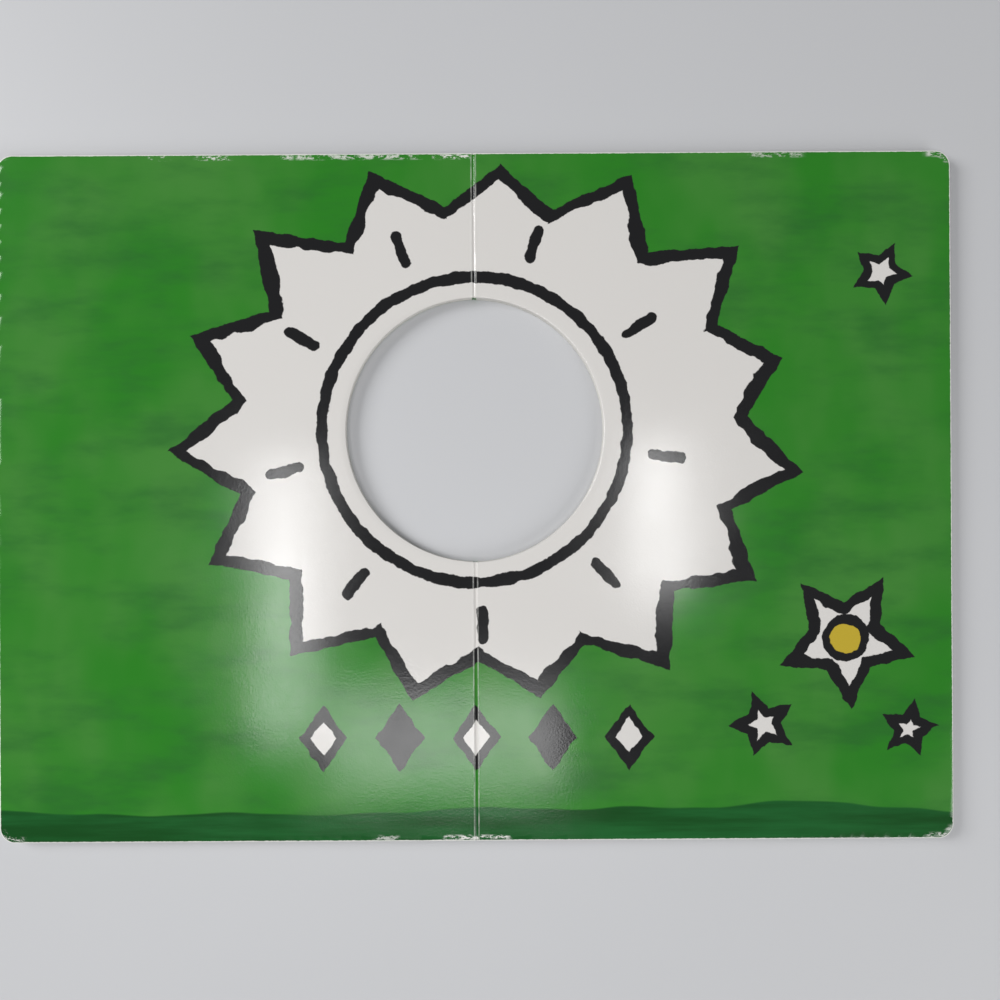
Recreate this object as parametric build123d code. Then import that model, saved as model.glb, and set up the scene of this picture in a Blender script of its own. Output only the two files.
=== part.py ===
from build123d import *
import os

# Board book lying open and flat at its middle spread. Sizes are in millimetres.
# +X runs from the gutter to the right-hand fore-edge, +Y to the head of the page
# and +Z up. The origin lies under the middle of the gutter, where the book rests.
#
# Five printed sheets of board, each folded once, are glued back to back, which
# makes four inner leaves and the inner faces of the two cover leaves. A cover
# sheet is glued round the outside. Its spine strip is creased along its middle,
# so that with the book open each half of the strip stands against the folds of
# the pages. A round face hole was punched through the closed book at its spine,
# from the front cover, so each half of the open book holds half of the hole.

# Driving sizes: the page
page_width = 206.0
page_height = 297.0
corner_radius = 6.5

# The boards, and how many inner leaves lie on each side of the open spread
board_thickness = 0.9
cover_thickness = 0.9
inner_leaves_per_half = 2

# The face hole: its centre lies past the fold, so each half has less than a half disc
face_hole_radius = 57.2
face_hole_rise = 29.0
face_hole_past_fold = 1.3

# How the trimmed edges, the hole's rims and the folds are worked
leaf_edge_bevel = 0.16
punch_entry_radius = 0.5
punch_exit_bevel = 0.08
leaf_creep = 0.15
crease_width = 0.9
crease_depth = 0.3
cover_fold_radius = 0.6

# Sizes that follow from them
leaf_thickness = 2 * board_thickness
lining_top = cover_thickness + board_thickness
pages_top = lining_top + inner_leaves_per_half * leaf_thickness
open_spread_underside = pages_top - board_thickness
cover_creep = inner_leaves_per_half * leaf_creep

# How near two heights or places count as the same
same = 0.001


def half_outline(creep):
    """Plan of the right half: square at the fold, round at the fore-edge, with its half of the hole."""
    reach = page_width + creep
    plan = Pos(reach / 2, 0) * Rectangle(reach, page_height)
    plan = fillet(plan.vertices().sort_by(Axis.X)[-2:], corner_radius)
    return plan - Pos(-face_hole_past_fold, face_hole_rise) * Circle(face_hole_radius)


def slab(bottom, thickness, creep):
    """Board of the right half, with sharp edges."""
    return Pos(0, 0, bottom) * extrude(half_outline(creep), thickness)


def rim_at(block, height):
    """Edges of a board's upper or lower face, apart from those along the fold."""
    level = block.edges().filter_by(lambda edge: abs(edge.center().Z - height) < same)
    return level.filter_by(lambda edge: edge.center().X > same)


def hole_arc(rim):
    """The face hole's edge, which is the longest arc of a rim."""
    return rim.filter_by(GeomType.CIRCLE).sort_by(SortBy.LENGTH)[-1]


def worked_rim(block, height, punch_enters):
    """Bevels the trimmed edges, and rolls the hole's edge over where the punch goes in."""
    rim = rim_at(block, height)
    arc = hole_arc(rim)
    block = chamfer(rim.filter_by(lambda edge: not edge.is_same(arc)), leaf_edge_bevel)
    arc = hole_arc(rim_at(block, height))
    if punch_enters:
        return fillet(arc, punch_entry_radius)
    return chamfer(arc, punch_exit_bevel)


def spine_strip():
    """Half of the cover's spine strip, standing from the cover to the open spread."""
    height = open_spread_underside - cover_thickness
    strip = Box(cover_thickness, page_height, height, align=(Align.MIN, Align.CENTER, Align.MIN))
    hole = Cylinder(face_hole_radius, height, align=(Align.CENTER, Align.CENTER, Align.MIN))
    strip = strip - Pos(-face_hole_past_fold, face_hole_rise) * hole
    return Pos(0, 0, cover_thickness) * strip


def gutter_crease():
    """The pressed valley along the fold of the open spread, as the piece cut away."""
    profile = Polyline(
        (0, pages_top - crease_depth),
        (crease_width, pages_top),
        (0, pages_top),
        close=True,
    )
    return extrude(Plane.XZ * make_face(profile), page_height / 2, both=True)


def pages(punch_enters_top):
    """The leaves between the right-hand cover and the open spread, glued at their folds."""
    lining = slab(cover_thickness, board_thickness, cover_creep)
    stack = worked_rim(lining, lining_top, punch_enters_top)
    for number in range(inner_leaves_per_half):
        bottom = lining_top + number * leaf_thickness
        leaf = slab(bottom, leaf_thickness, cover_creep - (number + 1) * leaf_creep)
        leaf = worked_rim(leaf, bottom + leaf_thickness, punch_enters_top)
        stack += worked_rim(leaf, bottom, not punch_enters_top)
    return stack - spine_strip() - gutter_crease()


def cover(punch_enters_bottom):
    """The right-hand board of the cover sheet, with its half of the spine strip folded up."""
    board = worked_rim(slab(0, cover_thickness, cover_creep), 0, punch_enters_bottom)
    folded = board + spine_strip()
    fold = folded.edges().filter_by(Axis.Y).filter_by(
        lambda edge: edge.center().X < same and edge.center().Z < same
    )
    return fillet(fold, cover_fold_radius)


def on_the_left(piece):
    return mirror(piece, about=Plane.YZ)


os.makedirs("parts", exist_ok=True)
export_step(pages(punch_enters_top=True), "parts/right_pages.step")
export_step(cover(punch_enters_bottom=False), "parts/back_cover.step")
export_step(on_the_left(pages(punch_enters_top=False)), "parts/left_pages.step")
export_step(on_the_left(cover(punch_enters_bottom=True)), "parts/front_cover.step")
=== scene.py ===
import math

import bmesh
import bpy
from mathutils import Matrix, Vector, noise


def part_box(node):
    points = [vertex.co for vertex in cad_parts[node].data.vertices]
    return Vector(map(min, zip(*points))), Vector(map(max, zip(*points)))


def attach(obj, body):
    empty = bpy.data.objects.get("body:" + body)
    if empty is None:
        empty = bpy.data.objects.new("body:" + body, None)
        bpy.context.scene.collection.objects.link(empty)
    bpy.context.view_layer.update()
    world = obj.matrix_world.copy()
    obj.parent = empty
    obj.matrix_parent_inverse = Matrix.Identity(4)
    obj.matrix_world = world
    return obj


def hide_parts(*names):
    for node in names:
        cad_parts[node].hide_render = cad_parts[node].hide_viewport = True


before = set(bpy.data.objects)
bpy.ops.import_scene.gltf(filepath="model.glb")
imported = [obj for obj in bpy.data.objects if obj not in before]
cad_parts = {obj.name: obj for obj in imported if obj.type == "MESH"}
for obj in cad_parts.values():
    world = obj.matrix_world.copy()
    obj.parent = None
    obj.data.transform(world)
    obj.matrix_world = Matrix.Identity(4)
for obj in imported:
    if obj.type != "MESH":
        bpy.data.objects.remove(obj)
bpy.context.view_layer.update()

mm = 0.001
scene = bpy.context.scene

# sizes of the book, from the frame and from the punch that cut the face hole
rightLow, rightHigh = (Vector(corner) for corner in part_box("right_pages"))
coverLow, coverHigh = (Vector(corner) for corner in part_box("back_cover"))
book = {
    "halfHeight": rightHigh.y,
    "reach": rightHigh.x,
    "top": rightHigh.z,
    "pagesBottom": rightLow.z,
    "creep": 0.15 * mm,        # each leaf stands this far past the one above it
    "cornerRadius": 6.5 * mm,
}
faceHole = {
    "radius": 57.2 * mm,
    "rise": 29.0 * mm,
    "pastFold": 1.3 * mm,
}
print("frame loaded: book", [round(v / mm, 1) for v in (book["reach"], book["halfHeight"], book["top"])])


# small helpers for shader nodes

def addNode(tree, kind, inputs=None, **settings):
    node = tree.nodes.new(kind)
    for name, value in settings.items():
        setattr(node, name, value)
    for key, value in (inputs or {}).items():
        if isinstance(value, bpy.types.NodeSocket):
            tree.links.new(value, node.inputs[key])
        else:
            node.inputs[key].default_value = value
    return node


def calc(tree, operation, first, second=0.0, third=0.0):
    node = addNode(tree, "ShaderNodeMath", {0: first, 1: second, 2: third}, operation=operation)
    return node.outputs[0]


def fade(tree, value, start, end, low=0.0, high=1.0):
    # smooth step from low at start to high at end
    inputs = {"Value": value, "From Min": start, "From Max": end, "To Min": low, "To Max": high}
    return addNode(tree, "ShaderNodeMapRange", inputs, interpolation_type="SMOOTHSTEP").outputs[0]


def blendColour(tree, share, under, over):
    return addNode(tree, "ShaderNodeMix", {0: share, 6: under, 7: over}, data_type="RGBA").outputs[2]


def speckle(tree, point, size, detail=2.0, rough=0.5, stretch=(1, 1, 1)):
    # noise whose blotches are about this many millimetres across, 0 to 1
    mapped = addNode(tree, "ShaderNodeMapping", {"Vector": point, "Scale": Vector(stretch) / size})
    inputs = {"Vector": mapped.outputs[0], "Scale": 1.0, "Detail": detail, "Roughness": rough}
    return addNode(tree, "ShaderNodeTexNoise", inputs).outputs[0]


def newMaterial(name):
    material = bpy.data.materials.new(name)
    material.use_nodes = True
    tree = material.node_tree
    tree.nodes.clear()
    output = addNode(tree, "ShaderNodeOutputMaterial")
    shader = addNode(tree, "ShaderNodeBsdfPrincipled")
    tree.links.new(shader.outputs[0], output.inputs["Surface"])
    return material, tree, shader


def millimetres(tree):
    # place on the piece in millimetres: whole vector, then x, y and z
    where = addNode(tree, "ShaderNodeTexCoord").outputs["Object"]
    point = addNode(tree, "ShaderNodeVectorMath", {0: where, "Scale": 1 / mm}, operation="SCALE").outputs[0]
    split = addNode(tree, "ShaderNodeSeparateXYZ", {0: point})
    return point, split.outputs[0], split.outputs[1], split.outputs[2]


# the printed ground: painterly greens with a darker strip of grass along the tail

ground = {
    "leafGreen": (0.018, 0.195, 0.010, 1),
    "moss": (0.048, 0.215, 0.030, 1),
    "shade": (0.017, 0.125, 0.018, 1),
    "grass": (0.002, 0.060, 0.006, 1),
    "grassLight": (0.008, 0.110, 0.020, 1),
    "blotch": 70,          # how wide the loose brushwork is, mm
    "streak": 26,
    "strokes": 22,
    "stripTop": -135.5,    # where the strip of grass begins, and how far its border wanders
    "stripWave": 15,
    "stripWaveLength": 90,
}


def paintGround(tree, point, x, y):
    blotch = speckle(tree, point, ground["blotch"], 3, 0.55, (1.3, 0.8, 1))
    streak = speckle(tree, point, ground["streak"], 4, 0.6, (0.5, 1.6, 1))
    green = blendColour(tree, fade(tree, blotch, 0.35, 0.68), ground["leafGreen"], ground["moss"])
    green = blendColour(tree, fade(tree, streak, 0.42, 0.75, 0, 0.7), green, ground["shade"])
    wander = speckle(tree, point, ground["stripWaveLength"], 2, 0.5, (1, 0.1, 1))
    wave = calc(tree, "MULTIPLY", calc(tree, "SUBTRACT", wander, 0.5), ground["stripWave"])
    edge = calc(tree, "SUBTRACT", y, calc(tree, "ADD", wave, ground["stripTop"]))
    strokes = speckle(tree, point, ground["strokes"], 4, 0.6, (0.22, 2.6, 1))
    grass = blendColour(tree, fade(tree, strokes, 0.35, 0.7), ground["grass"], ground["grassLight"])
    return blendColour(tree, fade(tree, edge, 0.5, -0.5), green, grass)


# the printed motifs: a sunburst round the hole, stars and a row of lozenges

ink = {
    "white": (0.67, 0.65, 0.625, 1),
    "black": (0.007, 0.007, 0.008, 1),
    "yellow": (0.50, 0.37, 0.03, 1),
    "line": 5.2,      # width of an outline
    "soft": 0.18,     # half the width over which one ink gives way to the next
}
burst = {
    "x": 6.0,
    "y": 28.0,
    "rays": 15,
    "tip": 121.0,
    "valley": 99.0,
    "stretch": 1.13,      # wider than tall
    "turn": 0.35,
    "uneven": 0.045,      # how much longer or shorter one ray is than the next
}
ring = {"radius": 66.0, "width": 4.8}
dashes = {"count": 9, "start": 78.0, "end": 90.0, "width": 4.8, "turn": 0.2}
stars = [
    {"x": 160.0, "y": -62.0, "tip": 31.0, "turn": 0.2, "eye": 8.0},
    {"x": 187.0, "y": -101.0, "tip": 13.0, "turn": 0.9, "eye": 0.0},
    {"x": 124.0, "y": -99.0, "tip": 15.0, "turn": 0.5, "eye": 0.0},
    {"x": 176.0, "y": 96.0, "tip": 14.0, "turn": 0.1, "eye": 0.0},
]
starValley = 0.52         # how far out a star's inner corners lie, as a share of its tip
starLine = 31.0           # a star this large has the full width of outline
lozenges = {"y": -104.0, "pitch": 33.0, "halfWidth": 10.5, "halfHeight": 14.5, "reach": 82.0}


def inked(tree, distance, edge=0.0):
    # 1 inside a shape's edge, 0 outside it
    return fade(tree, distance, edge + ink["soft"], edge - ink["soft"])


def polar(tree, x, y, centreX, centreY, stretch=1.0):
    across = calc(tree, "DIVIDE", calc(tree, "SUBTRACT", x, centreX), stretch)
    up = calc(tree, "SUBTRACT", y, centreY)
    square = calc(tree, "ADD", calc(tree, "MULTIPLY", across, across), calc(tree, "MULTIPLY", up, up))
    return calc(tree, "SQRT", square), calc(tree, "ARCTAN2", up, across)


def rayShare(tree, angle, count, turn):
    # which ray an angle falls in, and how far it is from that ray's middle
    turned = calc(tree, "ADD", calc(tree, "MULTIPLY", angle, count / math.tau), turn)
    number = calc(tree, "ROUND", turned)
    offset = calc(tree, "MULTIPLY", calc(tree, "SUBTRACT", turned, number), math.tau / count)
    return calc(tree, "FLOORED_MODULO", number, count), offset


def starDistance(tree, radius, angle, rays, tip, valley, turn, uneven=0.0):
    # signed distance to the straight edge that runs from a ray's tip to the valley beside it
    number, offset = rayShare(tree, angle, rays, turn)
    offset = calc(tree, "ABSOLUTE", offset)
    draw = addNode(tree, "ShaderNodeTexWhiteNoise", {"W": number}, noise_dimensions="1D").outputs[0]
    reach = calc(tree, "MULTIPLY_ADD", calc(tree, "SUBTRACT", draw, 0.5), 2 * uneven * tip, tip)
    px = calc(tree, "MULTIPLY", radius, calc(tree, "COSINE", offset))
    py = calc(tree, "MULTIPLY", radius, calc(tree, "SINE", offset))
    half = math.pi / rays
    ex = calc(tree, "SUBTRACT", valley * math.cos(half), reach)
    ey = valley * math.sin(half)
    side = calc(tree, "MULTIPLY", calc(tree, "SUBTRACT", px, reach), ey)
    side = calc(tree, "SUBTRACT", side, calc(tree, "MULTIPLY", py, ex))
    length = calc(tree, "SQRT", calc(tree, "MULTIPLY_ADD", ex, ex, ey * ey))
    return calc(tree, "DIVIDE", side, length)


def paintShape(tree, colour, distance, line, fill):
    colour = blendColour(tree, inked(tree, distance), colour, ink["black"])
    inside = calc(tree, "ADD", distance, line)
    return blendColour(tree, inked(tree, inside), colour, fill)


def paintBurst(tree, colour, x, y, line):
    radius, angle = polar(tree, x, y, burst["x"], burst["y"], burst["stretch"])
    edge = starDistance(tree, radius, angle, burst["rays"], burst["tip"], burst["valley"], burst["turn"],
                        burst["uneven"])
    return paintShape(tree, colour, edge, line, ink["white"])


def paintRing(tree, colour, x, y):
    radius, angle = polar(tree, x, y, 0.0, faceHole["rise"] / mm)
    off = calc(tree, "ABSOLUTE", calc(tree, "SUBTRACT", radius, ring["radius"]))
    colour = blendColour(tree, inked(tree, off, ring["width"] / 2), colour, ink["black"])
    offset = rayShare(tree, angle, dashes["count"], dashes["turn"])[1]
    along = calc(tree, "MULTIPLY", radius, calc(tree, "COSINE", offset))
    aside = calc(tree, "MULTIPLY", radius, calc(tree, "SINE", offset))
    middle = (dashes["start"] + dashes["end"]) / 2
    past = calc(tree, "ABSOLUTE", calc(tree, "SUBTRACT", along, middle))
    past = calc(tree, "MAXIMUM", calc(tree, "SUBTRACT", past, (dashes["end"] - dashes["start"]) / 2), 0.0)
    square = calc(tree, "ADD", calc(tree, "MULTIPLY", past, past), calc(tree, "MULTIPLY", aside, aside))
    fromDash = calc(tree, "SQRT", square)
    return blendColour(tree, inked(tree, fromDash, dashes["width"] / 2), colour, ink["black"])


def paintStar(tree, colour, x, y, star, line):
    radius, angle = polar(tree, x, y, star["x"], star["y"])
    edge = starDistance(tree, radius, angle, 5, star["tip"], star["tip"] * starValley, star["turn"])
    thin = calc(tree, "MULTIPLY", line, 0.5 + 0.5 * min(star["tip"] / starLine, 1))
    colour = paintShape(tree, colour, edge, thin, ink["white"])
    if star["eye"]:
        eye = calc(tree, "SUBTRACT", radius, star["eye"] + 2.2)
        colour = paintShape(tree, colour, eye, calc(tree, "MULTIPLY", line, 0.7), ink["yellow"])
    return colour


def paintLozenges(tree, colour, x, y, line):
    number = calc(tree, "ROUND", calc(tree, "DIVIDE", x, lozenges["pitch"]))
    middle = calc(tree, "MULTIPLY", number, lozenges["pitch"])
    across = calc(tree, "ABSOLUTE", calc(tree, "SUBTRACT", x, middle))
    up = calc(tree, "ABSOLUTE", calc(tree, "SUBTRACT", y, lozenges["y"]))
    wide, tall = lozenges["halfWidth"], lozenges["halfHeight"]
    sides = calc(tree, "ADD", calc(tree, "DIVIDE", across, wide), calc(tree, "DIVIDE", up, tall))
    edge = calc(tree, "MULTIPLY", calc(tree, "SUBTRACT", sides, 1.0), wide * tall / math.hypot(wide, tall))
    beyond = calc(tree, "SUBTRACT", calc(tree, "ABSOLUTE", x), lozenges["reach"])
    edge = calc(tree, "MAXIMUM", edge, beyond)
    odd = calc(tree, "FLOORED_MODULO", number, 2.0)
    line = calc(tree, "MULTIPLY_ADD", odd, 40.0, calc(tree, "MULTIPLY", line, 0.8))
    return paintShape(tree, colour, edge, line, ink["white"])


# the film over the print, where it is worn, creased and scuffed

wear = {
    "paper": (0.72, 0.72, 0.68, 1),
    "creaseAt": 0.95,       # the two pressed lines beside the fold
    "scuffDepth": 3.0,      # how far in from the trimmed edge the scuffs reach
    "rampReach": 210,       # half the length that the scuffs are laid out on
    "headScuffs": [
        {"middle": -136, "half": 3, "strength": 0.8},
        {"middle": -112, "half": 6, "strength": 0.9},
        {"middle": -80, "half": 2, "strength": 0.7},
        {"middle": -50, "half": 26, "strength": 0.75},
        {"middle": -9, "half": 7, "strength": 1.0},
        {"middle": 131, "half": 10, "strength": 0.55},
        {"middle": 205, "half": 8, "strength": 0.8},
    ],
    "tailScuffs": [
        {"middle": -206, "half": 9, "strength": 0.8},
        {"middle": -39, "half": 4, "strength": 0.6},
        {"middle": 0, "half": 13, "strength": 1.0},
        {"middle": 203, "half": 7, "strength": 0.8},
    ],
}


def scuffRamp(tree, x, places):
    # how scuffed the edge is along its length
    length = 2 * wear["rampReach"]
    share = calc(tree, "DIVIDE", calc(tree, "ADD", x, wear["rampReach"]), length)
    node = addNode(tree, "ShaderNodeValToRGB", {0: share})
    stops = node.color_ramp.elements
    stops[0].color = (0, 0, 0, 1)
    stops[1].color = (0, 0, 0, 1)
    for place in places:
        half = place["half"]
        full = place["strength"]
        for offset, level in ((-half - 2, 0), (-half, full), (half, full), (half + 2, 0)):
            along = (place["middle"] + offset + wear["rampReach"]) / length
            stops.new(min(max(along, 0.001), 0.999)).color = (level, level, level, 1)
    return addNode(tree, "ShaderNodeRGBToBW", {0: node.outputs[0]}).outputs[0]


def edgeDistance(tree, x, y):
    # how far inside the trimmed edge a place lies
    radius = book["cornerRadius"] / mm
    pageReach = (book["reach"] - 2 * book["creep"]) / mm
    flatX = calc(tree, "SUBTRACT", calc(tree, "ABSOLUTE", x), pageReach - radius)
    flatY = calc(tree, "SUBTRACT", calc(tree, "ABSOLUTE", y), book["halfHeight"] / mm - radius)
    cornerX = calc(tree, "MAXIMUM", flatX, 0.0)
    cornerY = calc(tree, "MAXIMUM", flatY, 0.0)
    squareX = calc(tree, "MULTIPLY", cornerX, cornerX)
    squareY = calc(tree, "MULTIPLY", cornerY, cornerY)
    outside = calc(tree, "SQRT", calc(tree, "ADD", squareX, squareY))
    inside = calc(tree, "MINIMUM", calc(tree, "MAXIMUM", flatX, flatY), 0.0)
    return calc(tree, "SUBTRACT", radius, calc(tree, "ADD", outside, inside))


def wornShare(tree, point, x, y):
    # 1 where the film and ink are gone and the white board shows
    depth = edgeDistance(tree, x, y)
    ragged = speckle(tree, point, 1.6, 3, 0.7)
    rim = fade(tree, calc(tree, "ADD", depth, calc(tree, "MULTIPLY", ragged, -0.55)), 0.12, -0.02)
    near = calc(tree, "MULTIPLY", fade(tree, depth, wear["scuffDepth"], 1.6), fade(tree, depth, 0.2, 0.7))
    flecks = fade(tree, speckle(tree, point, 1.5, 4, 0.75, (0.4, 1, 1)), 0.48, 0.56)
    head = calc(tree, "MULTIPLY", scuffRamp(tree, x, wear["headScuffs"]), fade(tree, y, 142, 146))
    tail = calc(tree, "MULTIPLY", scuffRamp(tree, x, wear["tailScuffs"]), fade(tree, y, -142, -146))
    scuffs = calc(tree, "MULTIPLY", calc(tree, "MULTIPLY", near, flecks), calc(tree, "ADD", head, tail))
    return calc(tree, "MAXIMUM", rim, scuffs)


def creaseShare(tree, point, x):
    # the two cracked lines pressed beside the fold
    off = calc(tree, "ABSOLUTE", calc(tree, "SUBTRACT", calc(tree, "ABSOLUTE", x), wear["creaseAt"]))
    line = fade(tree, off, 0.42, 0.1)
    broken = fade(tree, speckle(tree, point, 3.0, 5, 0.75, (1, 0.6, 1)), 0.35, 0.62, 0.25, 1.0)
    return calc(tree, "MULTIPLY", line, broken)


film = {
    "wobble": 3.4,                 # how far the drawn lines stray, and over what length
    "wobbleScale": 0.16,
    "smudge": 30,
    "glossy": 0.12,
    "handled": 0.17,
    "wornRoughness": 0.8,
    "grain": 0.8,                  # the fine unevenness that breaks up a reflection
    "grainDepth": 0.04 * mm,
    "grainStrength": 0.5,
    "bend": 1.5,
    "creaseShows": 0.85,
}


def drawnByHand(tree, point):
    # x and y with the slight wandering of a drawn line
    inputs = {"Vector": point, "Scale": film["wobbleScale"], "Detail": 3.0}
    shiver = addNode(tree, "ShaderNodeTexNoise", inputs).outputs[1]
    shift = addNode(tree, "ShaderNodeVectorMath", {0: shiver, 1: (0.5, 0.5, 0.5)}, operation="SUBTRACT")
    inputs = {0: shift.outputs[0], "Scale": film["wobble"]}
    shift = addNode(tree, "ShaderNodeVectorMath", inputs, operation="SCALE")
    drawn = addNode(tree, "ShaderNodeVectorMath", {0: point, 1: shift.outputs[0]}, operation="ADD")
    split = addNode(tree, "ShaderNodeSeparateXYZ", {0: drawn.outputs[0]})
    return split.outputs[0], split.outputs[1]


def raiseSurface(tree, shader, height, strength, distance):
    bump = addNode(tree, "ShaderNodeBump", {"Height": height, "Strength": strength, "Distance": distance})
    tree.links.new(bump.outputs[0], shader.inputs["Normal"])


def makeLaminate(name, printed):
    # glossy film over printed board; the open spread carries the motifs, the covers only the ground
    material, tree, shader = newMaterial(name)
    point, x, y = millimetres(tree)[:3]
    colour = paintGround(tree, point, x, y)
    if printed:
        dx, dy = drawnByHand(tree, point)
        line = fade(tree, speckle(tree, point, 14, 2), 0.3, 0.7, ink["line"] * 0.82, ink["line"] * 1.18)
        colour = paintBurst(tree, colour, dx, dy, line)
        colour = paintRing(tree, colour, dx, dy)
        colour = paintLozenges(tree, colour, dx, dy, line)
        for star in stars:
            colour = paintStar(tree, colour, dx, dy, star, line)
        pale = blendColour(tree, 0.5, colour, wear["paper"])
        creased = calc(tree, "MULTIPLY", creaseShare(tree, point, x), film["creaseShows"])
        colour = blendColour(tree, creased, colour, pale)
    worn = wornShare(tree, point, x, y)
    colour = blendColour(tree, worn, colour, wear["paper"])
    tree.links.new(colour, shader.inputs["Base Color"])
    smudge = speckle(tree, point, film["smudge"], 3, 0.6)
    rough = fade(tree, smudge, 0.3, 0.75, film["glossy"], film["handled"])
    rough = calc(tree, "MAXIMUM", rough, calc(tree, "MULTIPLY", worn, film["wornRoughness"]))
    tree.links.new(rough, shader.inputs["Roughness"])
    shader.inputs["IOR"].default_value = film["bend"]
    height = calc(tree, "MULTIPLY_ADD", worn, -0.8, speckle(tree, point, film["grain"], 1, 0.6))
    raiseSurface(tree, shader, height, film["grainStrength"], film["grainDepth"])
    return material


cutBoard = {
    "fresh": (0.70, 0.69, 0.655, 1),
    "handled": (0.50, 0.485, 0.44, 1),
    "glue": (0.33, 0.31, 0.27, 1),
    "roughness": 0.86,
    "coverRoughness": 0.85,
    "plyThickness": 0.9,      # mm
    "layer": 0.22,
    "dirt": 18,
    "fibre": 0.3,
    "fibreDepth": 0.06 * mm,
}


def paintCutBoard(tree, point, z):
    # pale pulp in fine layers, with the glue line down the middle of each leaf
    layers = speckle(tree, point, cutBoard["layer"], 3, 0.6, (0.05, 0.05, 1))
    dirt = speckle(tree, point, cutBoard["dirt"], 4, 0.65)
    layered = fade(tree, layers, 0.3, 0.8, 0, 0.55)
    colour = blendColour(tree, layered, cutBoard["fresh"], cutBoard["handled"])
    colour = blendColour(tree, fade(tree, dirt, 0.5, 0.8, 0, 0.5), colour, cutBoard["handled"])
    above = calc(tree, "SUBTRACT", z, cutBoard["plyThickness"])
    ply = calc(tree, "PINGPONG", above, cutBoard["plyThickness"])
    return blendColour(tree, fade(tree, ply, 0.1, 0.02, 0, 0.5), colour, cutBoard["glue"])


def makeCutBoard():
    material, tree, shader = newMaterial("cutBoardEdge")
    point, x, y, z = millimetres(tree)
    tree.links.new(paintCutBoard(tree, point, z), shader.inputs["Base Color"])
    shader.inputs["Roughness"].default_value = cutBoard["roughness"]
    height = speckle(tree, point, cutBoard["fibre"], 4, 0.7, (0.3, 0.3, 1))
    raiseSurface(tree, shader, height, 0.5, cutBoard["fibreDepth"])
    return material


def makeCoverBoard():
    # one material for the cover sheet's solids: printed outside and round the spine, cut board elsewhere
    material = makeLaminate("coverLaminate", False)
    tree = material.node_tree
    shader = [node for node in tree.nodes if node.type == "BSDF_PRINCIPLED"][0]
    point, x, y, z = millimetres(tree)
    normal = addNode(tree, "ShaderNodeTexCoord").outputs["Normal"]
    facing = addNode(tree, "ShaderNodeSeparateXYZ", {0: normal})
    outside = fade(tree, facing.outputs[2], -0.3, -0.6)
    spine = fade(tree, calc(tree, "ABSOLUTE", x), 1.2, 0.9)
    shown = calc(tree, "MAXIMUM", outside, spine)
    printed = shader.inputs["Base Color"].links[0].from_socket
    mixed = blendColour(tree, shown, paintCutBoard(tree, point, z), printed)
    tree.links.new(mixed, shader.inputs["Base Color"])
    gloss = shader.inputs["Roughness"].links[0].from_socket
    matt = cutBoard["coverRoughness"]
    rough = calc(tree, "MAXIMUM", gloss, calc(tree, "MULTIPLY_ADD", shown, -matt, matt))
    tree.links.new(rough, shader.inputs["Roughness"])
    return material


spreadLaminate = makeLaminate("spreadLaminate", True)
cutBoardEdge = makeCutBoard()
coverBoard = makeCoverBoard()
for node in ("front_cover", "back_cover"):
    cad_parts[node].data.materials.clear()
    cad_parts[node].data.materials.append(coverBoard)
print("finishes made")


# the leaves of each half, trimmed from sheets spun about the face hole

leaves = {
    "spokes": 220,
    "rings": 84,
    "coarseSpokes": 120,
    "coarseRings": 10,
    "cornerCuts": 9,
    "trimBevel": 0.17 * mm,
    "rolledRim": 0.55 * mm,
    "creaseWidth": 0.9 * mm,
    "creaseDepth": 0.3 * mm,
    "ridge": 0.05 * mm,
    "foldBands": (0.5, 1.0, 1.2, 1.6),    # cuts beside the fold, as shares of the crease's width
    "lowest": 0.1 * mm,       # the page's gentle waves start this far below the frame's top
    "waves": 0.16 * mm,       # and go this much further down
    "sharpEdge": 1.0,         # edges that turn more than this many radians are rims
    "flatFace": 0.25,         # faces that lean no more than this count as page, the rest as cut edge
}


def pageWave(x, y):
    # 0 to 1, the slow rise and fall of a board page that has been handled
    slow = noise.noise(Vector((x * 9, y * 7, 3.1)))
    quick = noise.noise(Vector((x * 26, y * 21, 8.7)))
    return min(max(0.5 + 0.5 * slow + 0.22 * quick, 0), 1)


def cutAway(bm, place, outward):
    whole = bm.verts[:] + bm.edges[:] + bm.faces[:]
    bmesh.ops.bisect_plane(bm, geom=whole, dist=1e-7, plane_co=place, plane_no=outward, clear_outer=True)


def halfSheet(bm, inner, reach, spokes, rings):
    # a fan of rings about the face hole, trimmed to the page with its round corners
    centre = Vector((-faceHole["pastFold"], faceHole["rise"], 0))
    far = math.hypot(reach - centre.x, book["halfHeight"] + centre.y) + 5 * mm
    start = bm.verts.new(centre + Vector((0, -faceHole["radius"], 0)))
    end = bm.verts.new(centre + Vector((0, -far, 0)))
    spoke = bm.edges.new((start, end))
    bmesh.ops.subdivide_edges(bm, edges=[spoke], cuts=rings)
    line = bm.verts[:] + bm.edges[:]
    bmesh.ops.spin(bm, geom=line, cent=centre, axis=(0, 0, 1), angle=math.pi, steps=spokes)
    cutAway(bm, (inner, 0, 0), (-1, 0, 0))
    cutAway(bm, (reach, 0, 0), (1, 0, 0))
    for side in (1, -1):
        cutAway(bm, (0, side * book["halfHeight"], 0), (0, side, 0))
        pivotY = side * (book["halfHeight"] - book["cornerRadius"])
        pivot = Vector((reach - book["cornerRadius"], pivotY, 0))
        for step in range(leaves["cornerCuts"]):
            angle = (step + 0.5) / leaves["cornerCuts"] * math.pi / 2
            outward = Vector((math.cos(angle), side * math.sin(angle), 0))
            cutAway(bm, pivot + outward * book["cornerRadius"], outward)


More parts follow.
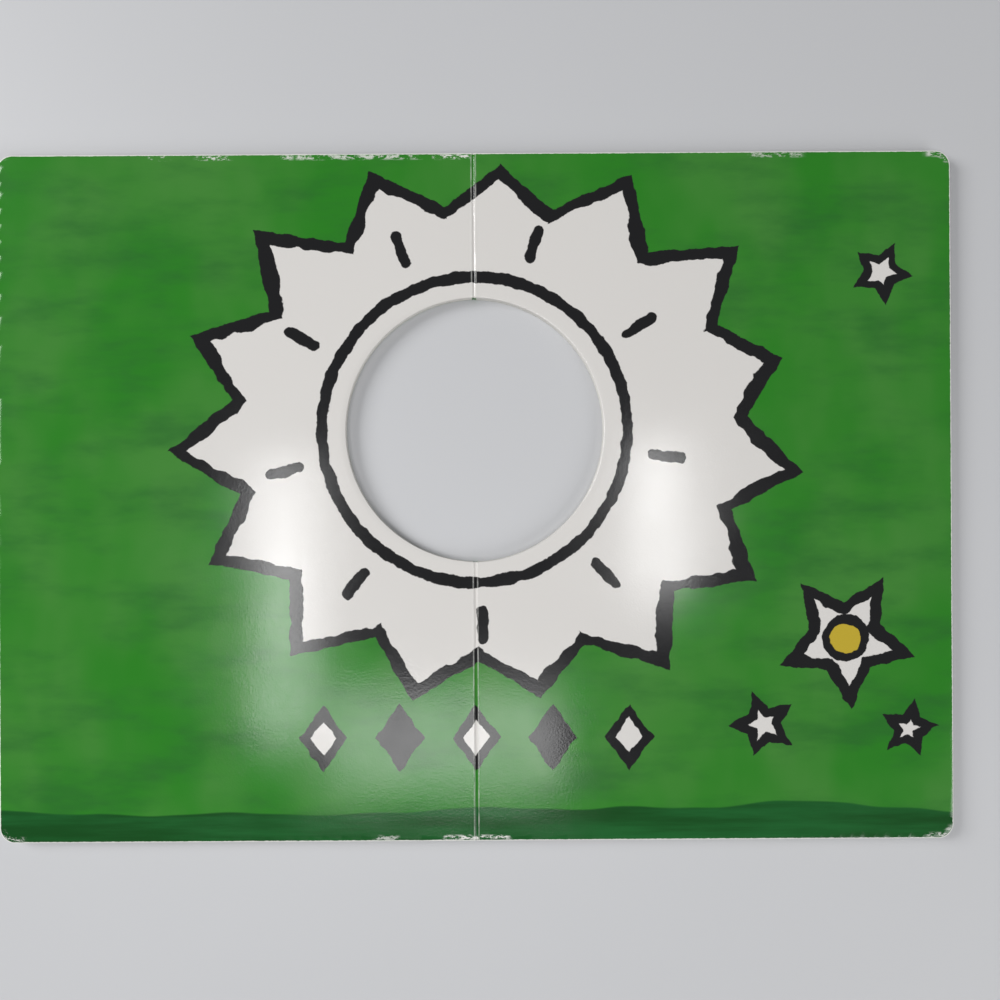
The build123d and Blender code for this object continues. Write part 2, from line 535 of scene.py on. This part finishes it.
def makeLeaf(inner, reach, bottom, top, punchedTop, fine):
    bm = bmesh.new()
    spokes, rings = ("spokes", "rings") if fine else ("coarseSpokes", "coarseRings")
    halfSheet(bm, inner, reach, leaves[spokes], leaves[rings])
    if fine:
        for share in leaves["foldBands"]:
            whole = bm.verts[:] + bm.edges[:] + bm.faces[:]
            place = (leaves["creaseWidth"] * share, 0, 0)
            bmesh.ops.bisect_plane(bm, geom=whole, dist=1e-7, plane_co=place, plane_no=(1, 0, 0))
    bmesh.ops.translate(bm, verts=bm.verts, vec=(0, 0, bottom))
    raised = bmesh.ops.extrude_face_region(bm, geom=bm.faces[:])["geom"]
    upper = [v for v in raised if isinstance(v, bmesh.types.BMVert)]
    bmesh.ops.translate(bm, verts=upper, vec=(0, 0, top - bottom))
    bmesh.ops.recalc_face_normals(bm, faces=bm.faces)
    roundRims(bm, inner, bottom, top, punchedTop)
    shapePage(bm, top, fine)
    for face in bm.faces:
        isPage = abs(face.normal.z) > leaves["flatFace"]
        face.material_index = 0 if isPage else 1
        face.smooth = isPage
    return bm


def roundRims(bm, inner, bottom, top, punchedTop):
    rims = {"trim": [], "rolled": []}
    for edge in bm.edges:
        if not edge.is_manifold or edge.calc_face_angle() < leaves["sharpEdge"]:
            continue
        middle = (edge.verts[0].co + edge.verts[1].co) / 2
        level = abs(edge.verts[0].co.z - edge.verts[1].co.z) < 1e-7
        if not level or middle.x < inner + 1e-6:
            continue
        fromHole = math.hypot(middle.x + faceHole["pastFold"], middle.y - faceHole["rise"])
        atHole = fromHole < faceHole["radius"] + 1 * mm
        atTop = abs(middle.z - top) < 1e-7
        rims["rolled" if atHole and atTop == punchedTop else "trim"].append(edge)
    for name, width, steps in (("rolled", leaves["rolledRim"], 4), ("trim", leaves["trimBevel"], 2)):
        edges = [edge for edge in rims[name] if edge.is_valid]
        bmesh.ops.bevel(bm, geom=edges, offset=width, offset_type="OFFSET", affect="EDGES",
                        segments=steps, profile=0.5, material=-1, clamp_overlap=True)


def shapePage(bm, top, fine):
    # slow waves that fade to nothing at the cover, and the crease pressed beside the fold
    thickness = book["top"] - book["pagesBottom"]
    for vert in bm.verts:
        x, y, z = vert.co
        share = (z - book["pagesBottom"]) / thickness
        drop = leaves["lowest"] + leaves["waves"] * (1 - pageWave(x, y))
        fromCrease = max(1 - x / leaves["creaseWidth"], 0)
        if fine and z > top - 0.3 * mm:
            drop += leaves["creaseDepth"] * fromCrease
            drop -= leaves["ridge"] * max(1 - abs(x / leaves["creaseWidth"] - 1.1) / 0.4, 0)
        vert.co.z = z - drop * share


def makeHalf(name, node, body, side, punchedTop):
    # plies counted up from the cover: the lining, a whole leaf, and the top leaf as two plies,
    # of which only the upper one, the open page, reaches in to the fold
    ply = (book["top"] - book["pagesBottom"]) / 5
    base = book["pagesBottom"]
    reach = book["reach"]
    creep = book["creep"]
    whole = bmesh.new()
    mesh = bpy.data.meshes.new(name)
    shells = [
        makeLeaf(0.0, reach - 2 * creep, book["top"] - ply, book["top"], punchedTop, True),
        makeLeaf(ply, reach - 2 * creep, book["top"] - 2 * ply, book["top"] - ply, punchedTop, False),
        makeLeaf(ply, reach - creep, base + ply, base + 3 * ply, punchedTop, False),
        makeLeaf(ply, reach, base, base + ply, punchedTop, False),
    ]
    for shell in shells:
        part = bpy.data.meshes.new(name + "Leaf")
        shell.to_mesh(part)
        shell.free()
        whole.from_mesh(part)
        bpy.data.meshes.remove(part)
    if side < 0:
        bmesh.ops.scale(whole, vec=(-1, 1, 1), verts=whole.verts)
        bmesh.ops.reverse_faces(whole, faces=whole.faces)
    whole.to_mesh(mesh)
    whole.free()
    mesh.materials.append(spreadLaminate)
    mesh.materials.append(cutBoardEdge)
    piece = bpy.data.objects.new(name, mesh)
    scene.collection.objects.link(piece)
    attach(piece, body)
    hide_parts(node)
    print(name, len(mesh.polygons), "faces")


makeHalf("rightLeaves", "right_pages", "back_half", 1, True)
makeHalf("leftLeaves", "left_pages", "front_half", -1, False)


# table, light and camera

stage = {
    "size": 3.0,
    "colour": (0.56, 0.565, 0.58, 1),
    "cloud": 260,             # mm, how wide its faint unevenness is
    "cloudShade": 0.94,
    "roughness": 0.5,
}
camera = {
    "height": 0.400,           # above the open spread
    "lens": 33.336,
    "sensor": 36,
    "across": 7.3434 * mm,
    "up": -1.3823 * mm,
    "shift": 0.008,
    "roll": -0.32,             # degrees
}
lamps = {
    "keyPanel": {"place": (-1.7, 0.55, 1.15), "size": (1.0, 1.0), "power": 34.0, "facesBook": True},
    "fillPanel": {"place": (1.5, -1.3, 1.2), "size": (1.3, 1.3), "power": 19.0, "facesBook": True},
    "leftStrip": {"place": (-0.262, -0.13, 0.80), "size": (0.07, 0.36), "power": 0.8, "facesBook": False},
    "rightStrip": {"place": (0.225, -0.03, 0.80), "size": (0.06, 0.20), "power": 0.42, "facesBook": False},
    "lowStrip": {"place": (-0.055, -0.31, 0.80), "size": (0.30, 0.13), "power": 0.75, "facesBook": False},
}
room = {"colour": (0.97, 0.98, 1.0, 1), "strength": 0.24}


def makeTable():
    bm = bmesh.new()
    bmesh.ops.create_grid(bm, x_segments=6, y_segments=6, size=stage["size"] / 2)
    mesh = bpy.data.meshes.new("table")
    bm.to_mesh(mesh)
    bm.free()
    material, tree, shader = newMaterial("tableTop")
    point = millimetres(tree)[0]
    cloud = speckle(tree, point, stage["cloud"], 3)
    darker = tuple(v * stage["cloudShade"] for v in stage["colour"][:3]) + (1,)
    tree.links.new(blendColour(tree, cloud, darker, stage["colour"]), shader.inputs["Base Color"])
    shader.inputs["Roughness"].default_value = stage["roughness"]
    mesh.materials.append(material)
    table = bpy.data.objects.new("table", mesh)
    scene.collection.objects.link(table)


def makeLamp(name, place, size, power, facesBook):
    data = bpy.data.lights.new(name, "AREA")
    data.shape = "RECTANGLE"
    data.size = size[0]
    data.size_y = size[1]
    data.energy = power
    lamp = bpy.data.objects.new(name, data)
    lamp.location = place
    if facesBook:
        lamp.rotation_euler = Vector(place).to_track_quat("Z", "Y").to_euler()
    scene.collection.objects.link(lamp)


def makeCamera():
    data = bpy.data.cameras.new("viewpoint")
    data.sensor_width = camera["sensor"]
    data.lens = camera["lens"]
    data.shift_x = camera["shift"]
    eye = bpy.data.objects.new("viewpoint", data)
    eye.location = (camera["across"], camera["up"], book["top"] + camera["height"])
    eye.rotation_euler = (0, 0, math.radians(camera["roll"]))
    scene.collection.objects.link(eye)
    scene.camera = eye


def makeWorld():
    world = bpy.data.worlds.new("room")
    world.use_nodes = True
    back = world.node_tree.nodes["Background"]
    back.inputs["Color"].default_value = room["colour"]
    back.inputs["Strength"].default_value = room["strength"]
    scene.world = world


makeTable()
for name, lamp in lamps.items():
    makeLamp(name, **lamp)
makeCamera()
makeWorld()
scene.view_settings.view_transform = "Standard"
print("stage set")
